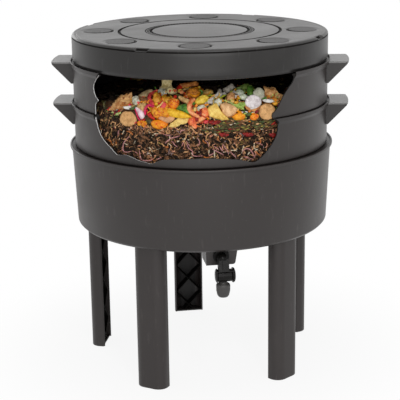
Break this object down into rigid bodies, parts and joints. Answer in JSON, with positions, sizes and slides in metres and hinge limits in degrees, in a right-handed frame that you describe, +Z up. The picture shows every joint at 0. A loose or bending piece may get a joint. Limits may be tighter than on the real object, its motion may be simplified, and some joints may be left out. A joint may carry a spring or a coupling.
{
  "type": "wormery",
  "caption": "Round stacking wormery: flat lid, working trays cut open to show scraps over compost, collector with a drain tap, on short channel legs.",
  "frame": {"origin": "on the axis of the round stack, on the ground under it", "axes": "+Z up; -Y to the front, where the cut-away window and the tap face; +X to the right seen from the front, along the tray handles"},
  "size_m": [0.594, 0.5318, 0.6772],
  "materials": {
    "charcoal_shell": "moulded charcoal plastic with a fine grain, slightly satin",
    "charcoal_lid": "moulded charcoal plastic, dusty satin",
    "charcoal_legs": "moulded dark grey plastic, satin",
    "tap_black": "black moulded plastic, semi-gloss",
    "tap_rubber": "black rubber",
    "compost": "moist dark brown shreds, matt",
    "rotted": "moist olive brown, matt",
    "scraps": "mixed kitchen scraps, moist",
    "scrap_eggshell": "moist food scrap, satin",
    "scrap_potato": "moist food scrap, satin",
    "scrap_red_peel": "moist food scrap, satin",
    "scrap_onion": "moist food scrap, satin",
    "scrap_carrot": "moist food scrap, satin",
    "scrap_banana": "moist food scrap, satin",
    "scrap_stalk": "moist food scrap, satin",
    "scrap_bread": "moist food scrap, satin",
    "scrap_tomato": "moist food scrap, satin",
    "scrap_lemon": "moist food scrap, satin",
    "scrap_leaf": "moist food scrap, satin",
    "scrap_cucumber": "moist food scrap, satin",
    "scrap_turnip": "moist food scrap, satin",
    "worm": "moist skin, glossy"
  },
  "bodies": {
    "base": {"collector_tray": "charcoal_shell", "leg_1": "charcoal_legs", "leg_2": "charcoal_legs", "leg_3": "charcoal_legs", "leg_4": "charcoal_legs", "leg_5": "charcoal_legs", "tap_body": "tap_black", "tap_washer_outer": "tap_rubber", "tap_washer_inner": "tap_rubber", "tap_nut": "tap_black"},
    "tap_lever": {"tap_lever": "tap_black", "tap_plug": "tap_black", "tap_plug_ring_left": "tap_rubber", "tap_plug_ring_right": "tap_rubber"},
    "lower_tray": {"lower_tray": "charcoal_shell", "compost": "compost", "worm_1": "worm", "worm_2": "worm", "worm_3": "worm", "worm_4": "worm"},
    "upper_tray": {"upper_tray": "charcoal_shell", "rotted_layer": "rotted", "scrap_heap": "scraps", "scrap_eggshell_left": "scrap_eggshell", "scrap_potato_slice_left": "scrap_potato", "scrap_red_peel": "scrap_red_peel", "scrap_onion_wedge": "scrap_onion", "scrap_carrot_piece": "scrap_carrot", "scrap_banana_peel": "scrap_banana", "scrap_stalk": "scrap_stalk", "scrap_bread_crust": "scrap_bread", "scrap_tomato": "scrap_tomato", "scrap_lemon_wedge": "scrap_lemon", "scrap_eggshell_middle": "scrap_eggshell", "scrap_leek_leaf": "scrap_leaf", "scrap_cucumber_slice": "scrap_cucumber", "scrap_turnip_slice": "scrap_turnip", "scrap_diced_carrot": "scrap_carrot", "scrap_potato_slice_right": "scrap_potato", "scrap_eggshell_right": "scrap_eggshell"},
    "lid": {"lid": "charcoal_lid"}
  },
  "joints": [
    {"name": "tap_turn", "type": "hinge", "parent": "base", "child": "tap_lever", "pos_m": [0.03821, -0.24403, 0.2447], "axis": [0.988, 0.1547, 0], "range_deg": [0, 90]},
    {"name": "lower_tray_lift", "type": "slide", "parent": "base", "child": "lower_tray", "axis": [0, 0, 1], "range_m": [0, 0.12]},
    {"name": "upper_tray_lift", "type": "slide", "parent": "lower_tray", "child": "upper_tray", "axis": [0, 0, 1], "range_m": [0, 0.12]},
    {"name": "lid_lift", "type": "slide", "parent": "upper_tray", "child": "lid", "axis": [0, 0, 1], "range_m": [0, 0.12]}
  ]
}
